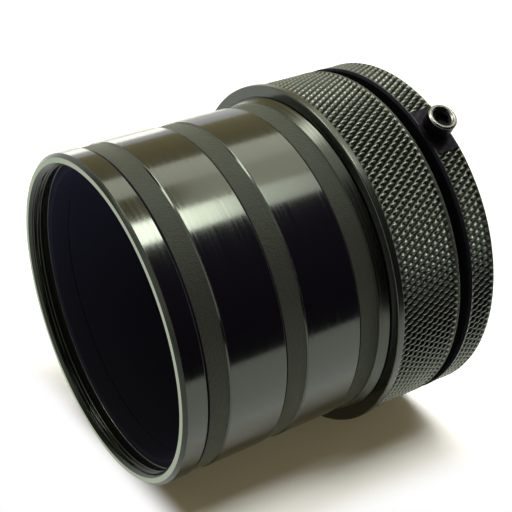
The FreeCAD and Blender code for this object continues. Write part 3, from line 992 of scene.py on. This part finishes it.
# %% The clamp ring
RING_TOP = top_of("clamp_ring")
RING_EDGE = 0.4
RING_LAND = 0.55
BORE_RADIUS = 25.5
BORE_MOUTH = 0.5
SLEEVE_LOW = bottom_of("draw_sleeve")
SLEEVE_SEAT = radius_of("draw_sleeve") + 0.05
SCREW_HEIGHT = (top_of("clamp_screw") + bottom_of("clamp_screw")) / 2
SCREW_ANGLE = math.radians(-90)
SCREW_HOLE = 1.58
FLAT_DEPTH = 0.33
SCREW_SEAT = GRIP - FLAT_DEPTH
HEAD_POCKET = 3.1


def make_clamp_ring():
    edge = rounded_rows(
        [
            Corner(BORE_RADIUS, BORE_MOUTH, SATIN, 0),
            Corner(BORE_RADIUS + BORE_MOUTH, 0, SATIN),
            Corner(GRIP - RING_EDGE, 0, SATIN, 0.1),
            Corner(GRIP, RING_EDGE, SATIN, 0.1),
            Corner(GRIP, RING_LAND, TIP, 0),
        ],
        COARSE_COLUMNS,
        closed=False,
    )
    inner = rounded_rows(
        [
            Corner(GRIP, RING_TOP - RING_LAND, SATIN, 0),
            # The top bevel and face look into the gap to the collar and are painted dead black as
            # shade.
            Corner(GRIP, RING_TOP - RING_EDGE, PAINTED_SHADE, 0.06),
            Corner(GRIP - RING_EDGE, RING_TOP, PAINTED_SHADE, 0.1),
            Corner(SLEEVE_SEAT, RING_TOP, SATIN),
            Corner(SLEEVE_SEAT, SLEEVE_LOW, SATIN, 0),
            Corner(BORE_RADIUS, SLEEVE_LOW, SATIN, 0),
        ],
        COARSE_COLUMNS,
        closed=False,
    )
    flat = math.acos(SCREW_SEAT / GRIP), SCREW_SEAT
    knurl = knurl_rows(RING_LAND, RING_TOP - RING_LAND, GRIP, flat)
    ring = skin("clamp_ring_turned", edge[:-1] + knurl + inner[1:], TUBE_FINISHES)
    hole = [(CUTTER_START, SCREW_HOLE), (SCREW_SEAT, HEAD_POCKET), (GRIP + BEYOND, HEAD_POCKET)]
    drill(ring, [stepped_cutter("screw_cutter", hole, SCREW_ANGLE, SCREW_HEIGHT, 96)])
    finish_piece(ring, "slider", "clamp_ring")


make_clamp_ring()


# %% [markdown]
# ## The set screw
#
# A socket head screw, M3: a round head with a turned bevel on its top edge, a hexagon socket with
# a countersunk mouth, and a thread of 0.5 mm pitch. Only the head shows at rest, but the thread
# comes out when the screw is undone, so it is real as well. A hexagon is only another way for a
# radius to change with the angle. The screw is made upright and then laid along its radius.

# %% The set screw
SCREW_TOP = -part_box("clamp_screw")[0].y / MM
SCREW_END = -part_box("clamp_screw")[1].y / MM
HEAD_HEIGHT = 3.0
HEAD = 2.75
HEAD_BEVEL = 0.25
THREAD_OUTER = 1.5
THREAD_INNER = 1.22
THREAD_PITCH = 0.5
TIP_HOLE = 0.75
TIP_HOLE_DEPTH = 1.4
SOCKET_ACROSS = 2.5
SOCKET_MOUTH = 2.1
SOCKET_HOLE_DEPTH = 1.6
DRILL_POINT = 0.35
SCREW_COLUMNS = 96
BRIGHT, DARK = range(2)
WORN_STEEL = (0.6, 0.58, 0.52)
STEEL_MARKS = (3000, 3000, 3000)


def screw_steel(name, colour, roughness, worn=0.9):
    material, tree, shader = new_material(name)
    shader.inputs["Metallic"].default_value = 1.0
    marks = stretched_noise(tree, STEEL_MARKS, 4.0, 0.6)
    rough_between(tree, shader, marks, roughness * 0.7, roughness * 1.4)
    bump(tree, shader, marks, 3 * MICRON)
    worn_colour(tree, shader, colour, WORN_STEEL, worn)
    return material


bright_steel = screw_steel("screw_bright_steel", (0.24, 0.24, 0.2), 0.27, 0.5)
dark_steel = screw_steel("screw_dark_steel", (0.008, 0.008, 0.009), 0.5, 0.0)


def hexagon(angle):
    """Radius of a hexagon at an angle, for its size across flats."""
    part = (angle + math.radians(30)) % math.radians(60) - math.radians(30)
    return SOCKET_ACROSS / 2 / math.cos(part)


def make_clamp_screw():
    head_low = SCREW_TOP - HEAD_HEIGHT
    socket_floor = SCREW_TOP - SOCKET_HOLE_DEPTH
    end = rounded_rows(
        [
            Corner(TIP_HOLE, SCREW_END + TIP_HOLE_DEPTH, DARK),
            Corner(TIP_HOLE, SCREW_END, DARK, 0.05),
            Corner(THREAD_INNER, SCREW_END, DARK, 0.05),
            Corner(THREAD_INNER + 0.05, SCREW_END + 0.05, DARK, 0),
        ],
        SCREW_COLUMNS,
        closed=False,
    )
    thread = thread_rows(
        THREAD_INNER,
        THREAD_OUTER,
        SCREW_END + 0.1,
        head_low - 0.1,
        THREAD_PITCH,
        SCREW_COLUMNS,
        DARK,
        crest_inside=False,
    )
    head = rounded_rows(
        [
            Corner(THREAD_INNER + 0.1, head_low, BRIGHT, 0),
            Corner(HEAD, head_low, DARK, 0.15),
            Corner(HEAD, SCREW_TOP - HEAD_BEVEL, BRIGHT, 0.1),
            Corner(HEAD - HEAD_BEVEL, SCREW_TOP, BRIGHT, 0.2),
            Corner(SOCKET_MOUTH, SCREW_TOP, BRIGHT, 0.2),
            Corner(SOCKET_MOUTH - 0.12, SCREW_TOP - 0.2, BRIGHT, 0.1),
            Corner(SOCKET_MOUTH - 0.3, SCREW_TOP - 0.45, DARK, 0),
        ],
        SCREW_COLUMNS,
        closed=False,
    )
    socket = [
        Row(SCREW_TOP - 0.6, SCREW_COLUMNS, hexagon, DARK, 0.2),
        Row(socket_floor, SCREW_COLUMNS, hexagon, DARK),
        Row(socket_floor - DRILL_POINT, SCREW_COLUMNS, 0.25, DARK),
    ]
    rows = end + thread[::-1] + head + socket
    screw = skin("clamp_screw_turned", rows, [bright_steel, dark_steel], closed=False)
    lay_down = Matrix.Rotation(math.pi / 2, 4, "X")
    screw.data.transform(Matrix.Translation((0, 0, SCREW_HEIGHT * MM)) @ lay_down)
    finish_piece(screw, "clamp_screw", "clamp_screw")


make_clamp_screw()


# %% [markdown]
# ## Pieces kept from the frame
#
# The sleeve, the washers, the keys and the soft tip have the right shape already, so making them
# again would gain nothing. They only get their finish. The sleeve shows in the gap behind the
# collar, which is nearly black, so it has the dead black of the bore as painted shade for that gap.

# %% Finishes of the kept pieces
MOULD_GRAIN = (4000, 4000, 4000)
CLOUDS = (150, 150, 150)
CLOUD_SHADE = 0.8


def moulded_plastic(name, colour, roughness):
    material, tree, shader = new_material(name)
    grain = stretched_noise(tree, MOULD_GRAIN, 3.0, 0.5)
    rough_between(tree, shader, grain, roughness * 0.8, roughness * 1.2)
    bump(tree, shader, grain, 5 * MICRON)
    cloud = stretched_noise(tree, CLOUDS, 2.0, 0.5)
    darker = [channel * CLOUD_SHADE for channel in colour]
    tint = colour_between(tree, cloud, colour, darker)
    tree.links.new(tint, shader.inputs["Base Color"])
    return material


washer_plastic = moulded_plastic("washer_plastic", (0.02, 0.02, 0.02), 0.5)
KEPT = {
    # The sleeve's dead black is painted shade for the gap behind the collar.
    "draw_sleeve": black_bore_and_gap_shade,
    "retaining_ring": satin_black,
    "slip_washer": washer_plastic,
    "thrust_washer": washer_plastic,
    "guide_keys": screw_steel("key_steel", (0.4, 0.39, 0.37), 0.3),
    "screw_tip": moulded_plastic("tip_nylon", (0.75, 0.73, 0.66), 0.45),
}
for node, finish in KEPT.items():
    for material_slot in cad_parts[node].material_slots:
        material_slot.material = finish
print("kept:", sorted(KEPT))


# %% [markdown]
# ## The table
#
# The adapter lies on its side on a white table, so it rests on the rim of the collar and on the
# lip. A table could be set by eye until the shadow looks right, but it may then cut into the
# rings. Here the line through those two edges gives its tilt to the optical axis. Only the side
# that the adapter lies on was read from the photograph.

# %% Where the table lies
REST_SIDE = math.radians(-55.2)
TABLE_GAP = 0.05
lip_edge = LIP_FACE - LIP_CHAMFER
taper = math.atan((RIM - TUBE) / (lip_edge - (COLLAR_FRONT - RIM_WIDTH / 2)))
table_up = Vector(
    (
        math.cos(REST_SIDE) * math.cos(taper),
        math.sin(REST_SIDE) * math.cos(taper),
        -math.sin(taper),
    )
)


def reach_below(radius, height):
    """How far a rim reaches below the axis at the rear face, square to the table."""
    return radius * math.cos(taper) + height * math.sin(taper)


depth = max(reach_below(RIM, COLLAR_FRONT - RIM_WIDTH), reach_below(TUBE, lip_edge))
print("taper", round(math.degrees(taper), 2), "degrees, table normal", table_up)
print("table is", round(depth, 2), "mm below the axis at the rear face")


# %% [markdown]
# ### Which rays see the paper
#
# A plain white plane would light the underside of the adapter more than the photograph's sheet
# does. So the Light Path node makes a difference: the paper is white to the camera and in
# reflections, and darker to the light, as if the sheet were small. From below it is clear,
# because views from other sides pass through it.

# %% Ray helpers
def reckon(tree, operation, first, second):
    """One step of arithmetic on two values, of which the second may be a plain number."""
    node = tree.nodes.new("ShaderNodeMath")
    node.operation = operation
    tree.links.new(first, node.inputs[0])
    if isinstance(second, float):
        node.inputs[1].default_value = second
    else:
        tree.links.new(second, node.inputs[1])
    return node.outputs["Value"]


def shown_rays(tree):
    """1 for rays from the camera, from a mirror and through glass, 0 for the light itself."""
    rays = tree.nodes.new("ShaderNodeLightPath").outputs
    seen = reckon(tree, "MAXIMUM", rays["Is Camera Ray"], rays["Is Glossy Ray"])
    return reckon(tree, "MAXIMUM", seen, rays["Is Transmission Ray"])


def mixed_shader(tree, factor, first, second):
    """The first shader where the factor is 0, the second where it is 1."""
    mix = tree.nodes.new("ShaderNodeMixShader")
    tree.links.new(factor, mix.inputs["Fac"])
    tree.links.new(first, mix.inputs[1])
    tree.links.new(second, mix.inputs[2])
    return mix.outputs["Shader"]


def show_front_only(tree, shader, output):
    """Lets rays through from behind, so that only the front of a sheet is there."""
    behind = tree.nodes.new("ShaderNodeNewGeometry").outputs["Backfacing"]
    clear = tree.nodes.new("ShaderNodeBsdfTransparent").outputs["BSDF"]
    tree.links.new(mixed_shader(tree, behind, shader, clear), output.inputs["Surface"])


# %% [markdown]
# ### Paper
#
# The paper takes the adapter's shadow, and a faint warm glow keeps that shadow as light and as
# brown as in the photograph. In front of the lip and on the camera's side the photograph's paper
# is overexposed, and the shadow ends in plain white. More light would wash out the adapter, so
# the paper itself fades to white there.

# %% The paper
PAPER_TO_LIGHT = (0.4, 0.39, 0.36)
PAPER_TO_CAMERA = (0.88, 0.88, 0.85)
SHADOW_GLOW = (1.0, 0.85, 0.5, 1)
SHADOW_STRENGTH = 0.06
FRONT_FADE = (57 * MM, 63.5 * MM)
SIDE_FADE = (30 * MM, 39 * MM)


def beyond_shadow(tree):
    """0 on the paper where the shadow lies, 1 in front of the lip and out on the camera's side."""
    coordinates = tree.nodes.new("ShaderNodeTexCoord")
    parts = tree.nodes.new("ShaderNodeSeparateXYZ")
    tree.links.new(coordinates.outputs["Object"], parts.inputs["Vector"])
    faded = []
    for part, (start, end) in (("X", FRONT_FADE), ("Y", SIDE_FADE)):
        fade = tree.nodes.new("ShaderNodeMapRange")
        fade.interpolation_type = "SMOOTHSTEP"
        fade.inputs["From Min"].default_value = start
        fade.inputs["From Max"].default_value = end
        tree.links.new(parts.outputs[part], fade.inputs["Value"])
        faded.append(fade.outputs["Result"])
    return reckon(tree, "MAXIMUM", *faded)


def table_paper():
    material = bpy.data.materials.new("white_table")
    material.use_nodes = True
    tree = material.node_tree
    tree.nodes.clear()
    link = tree.links.new
    shown = shown_rays(tree)
    diffuse = tree.nodes.new("ShaderNodeBsdfDiffuse")
    link(colour_between(tree, shown, PAPER_TO_LIGHT, PAPER_TO_CAMERA), diffuse.inputs["Color"])
    glow = tree.nodes.new("ShaderNodeEmission")
    glow.inputs["Color"].default_value = SHADOW_GLOW
    link(reckon(tree, "MULTIPLY", shown, SHADOW_STRENGTH), glow.inputs["Strength"])
    paper = tree.nodes.new("ShaderNodeAddShader")
    link(diffuse.outputs["BSDF"], paper.inputs[0])
    link(glow.outputs["Emission"], paper.inputs[1])
    white = tree.nodes.new("ShaderNodeEmission").outputs["Emission"]
    beyond = reckon(tree, "MULTIPLY", shown, beyond_shadow(tree))
    faded = mixed_shader(tree, beyond, paper.outputs["Shader"], white)
    show_front_only(tree, faded, tree.nodes.new("ShaderNodeOutputMaterial"))
    print("paper made of", len(tree.nodes), "nodes")
    return material


# %% The table
TABLE_SIZE = 3.0


def flat_board(name, width, length, finish):
    """A flat rectangle of one face, in its own XY plane."""
    mesh = bpy.data.meshes.new(name)
    grid = bmesh.new()
    bmesh.ops.create_grid(grid, x_segments=1, y_segments=1, size=0.5)
    bmesh.ops.scale(grid, verts=grid.verts, vec=(width, length, 1))
    grid.to_mesh(mesh)
    grid.free()
    mesh.materials.append(finish)
    return into_scene(name, mesh)


table = flat_board("table", TABLE_SIZE, TABLE_SIZE, table_paper())
along = (Vector((0, 0, 1)) - table_up.z * table_up).normalized()
turn = Matrix((along, table_up.cross(along), table_up)).transposed().to_4x4()
table.matrix_world = Matrix.Translation(-table_up * (depth + TABLE_GAP) * MM) @ turn


# %% [markdown]
# ## Light
#
# Gloss black shows nothing but what stands round it, so the lamps are placed by their
# reflections. A tube reflects one strip of the room for each of its lines. For a line at a given
# angle round the tube, the direction in which it sees the room is worked out from the camera, and
# the lamp is put there, facing the adapter. The key makes the bright strip. It is built in steps
# that grow dimmer towards the rear, because the strip fades that way. Two fills make the grey
# zone above it, the side lamp lights the cone, and the rim lamp the top edge. The last two lamps
# hang over the table for the soft shadow and the matte bands, and are kept out of the
# reflections.

# %% Panels
PICTURE_TOP_LINE = 32.5


def seen_from(tube_angle, height=35.0):
    """Where a line of the tube, at an angle from the top of the picture, sees the room."""
    across = math.radians(-(tube_angle + PICTURE_TOP_LINE))
    normal = Vector((math.cos(across), math.sin(across), 0))
    place = (normal * TUBE + Vector((0, 0, height))) * MM
    ray = (place - CAMERA_PLACE).normalized()
    return ray - 2 * ray.dot(normal) * normal


def panel(first, last, low, high, distance):
    """Place, width and length of a panel beside the tube.

    The tube shows it between two angles. It stands parallel to the axis, from low to high.
    """
    start, end = [math.atan2(ray.y, ray.x) for ray in (seen_from(first), seen_from(last))]
    width = 2 * distance * math.tan(abs(end - start) / 2)
    turn = Matrix.Rotation((start + end) / 2, 4, "Z") @ Matrix.Rotation(math.pi / 2, 4, "Y")
    turn = turn @ Matrix.Rotation(math.pi / 2, 4, "Z")
    place = Matrix.Translation((0, 0, (low + high) / 2)) @ turn
    return place @ Matrix.Translation((0, 0, distance)), width, high - low


print("a line 60 degrees round the tube sees the room towards", seen_from(60))

# %% Lamps
WHITE = (1.0, 1.0, 1.0)
WARM_WHITE = (1.0, 1.0, 0.88)
KEY_ANGLES = (56.5, 63.8)
KEY_DISTANCE = 0.85
KEY_STEPS = ((-0.12, 14), (-0.33, 9), (-0.39, 3), (-0.47, 1.7), (-0.58, 0))
# Two angles round the tube, lowest and highest place along the axis, distance, brightness.
LAMPS = {
    "fill": ((38, 47, -0.65, 0.0), 1.0, 2.1),
    "low_fill": ((47, 56, -0.65, -0.41), 1.0, 1.6),
    "side": ((42.5, 49.5, 0.0, 1.0), 0.9, 8),
    "rim": ((-2, 15.5, -0.55, 0.1), 1.2, 2.1, WARM_WHITE),
    "top": ((51, 65, -0.6, 0.1), 1.0, 5.8),
    "back": ((34, 47, -0.6, 0.1), 1.0, 6),
}


def soft_lamp(name, span, distance, brightness, colour=WHITE):
    """A rectangular soft lamp of a given brightness, where 1 is as bright as white paper."""
    place, width, length = panel(*span, distance)
    data = bpy.data.lights.new(name, "AREA")
    data.shape = "RECTANGLE"
    data.size = width
    data.size_y = length
    data.energy = brightness * math.pi * width * length
    data.color = colour
    lamp = into_scene(name, data, place)
    lamp.visible_camera = False
    print(f"{name}: {width:.2f} x {length:.2f} m, {data.energy:.1f} W")
    return lamp


for step, ((high, brightness), (low, _)) in enumerate(zip(KEY_STEPS, KEY_STEPS[1:])):
    soft_lamp(f"key_{step}", (*KEY_ANGLES, low, high), KEY_DISTANCE, brightness)
lamps = {name: soft_lamp(name, *values) for name, values in LAMPS.items()}
lamps["side"].visible_diffuse = False
for name in ("top", "back"):
    lamps[name].visible_glossy = False


# %% [markdown]
# ### Cards
#
# A photographer shapes reflections with cards. The black one stands beside the camera and keeps
# the side of the tube dark. The brown one stands behind the adapter, where the photograph shows
# the warm tone of a room, and the high one darkens the bevel of the lip. A black sheet lies on
# the table on the camera's side, up to where the tube begins to mirror the white paper. From
# below it is clear too, so that it doesn't darken the paper. The camera sees none of them.
# Painting the dark zones on the tube would be simpler, but they wouldn't move with the view.

# %% Cards
CARD_BLACK = (0.004, 0.004, 0.005, 1)
NO_GLOW = (0, 0, 0)
BROWN_GLOW = (0.5, 0.43, 0.2)
SHEET_START = 0.11
SHEET_WIDTH = 0.5
SHEET_LENGTH = 1.4
SHEET_LIFT = 1 * MM


def card(name, place, width, length, glow, front_only=False):
    material, tree, shader = new_material(name)
    shader.inputs["Base Color"].default_value = CARD_BLACK
    shader.inputs["Roughness"].default_value = 1.0
    shader.inputs["Specular IOR Level"].default_value = 0.0
    shader.inputs["Emission Color"].default_value = (*glow, 1)
    shader.inputs["Emission Strength"].default_value = 1.0
    if front_only:
        show_front_only(tree, shader.outputs["BSDF"], tree.nodes["Material Output"])
    board = flat_board(name, width, length, material)
    board.matrix_world = place
    board.visible_camera = False
    board.visible_shadow = False
    board.visible_diffuse = front_only
    print(f"{name}: {width:.2f} x {length:.2f} m")


card("black_card", *panel(64.3, 101, -1.7, 0.7, 0.5), NO_GLOW)
card("high_card", *panel(18, 43, 0.35, 1.6, 0.5), NO_GLOW)
card("brown_card", *panel(20, 57, -1.4, 0.3, 1.3), BROWN_GLOW)
beside = Matrix.Translation((0, SHEET_START + SHEET_WIDTH / 2, SHEET_LIFT))
sheet_place = table.matrix_world @ beside
card("black_sheet", sheet_place, SHEET_LENGTH, SHEET_WIDTH, NO_GLOW, front_only=True)


# %% [markdown]
# ### The room
#
# The room is white to the camera and to reflections, and gives a low even light to everything
# else. An image of a studio could stand there instead, but then its lamps would show in the tube
# beside the ones placed here.

# %% The room
AMBIENT = (0.14, 0.115, 0.06)

world = bpy.data.worlds.new("room")
world.use_nodes = True
tree = world.node_tree
room_colour = colour_between(tree, shown_rays(tree), AMBIENT, WHITE)
tree.links.new(room_colour, tree.nodes["Background"].inputs["Color"])
bpy.context.scene.world = world
bpy.context.scene.view_settings.view_transform = "Standard"
print("the room lights the adapter with", AMBIENT)
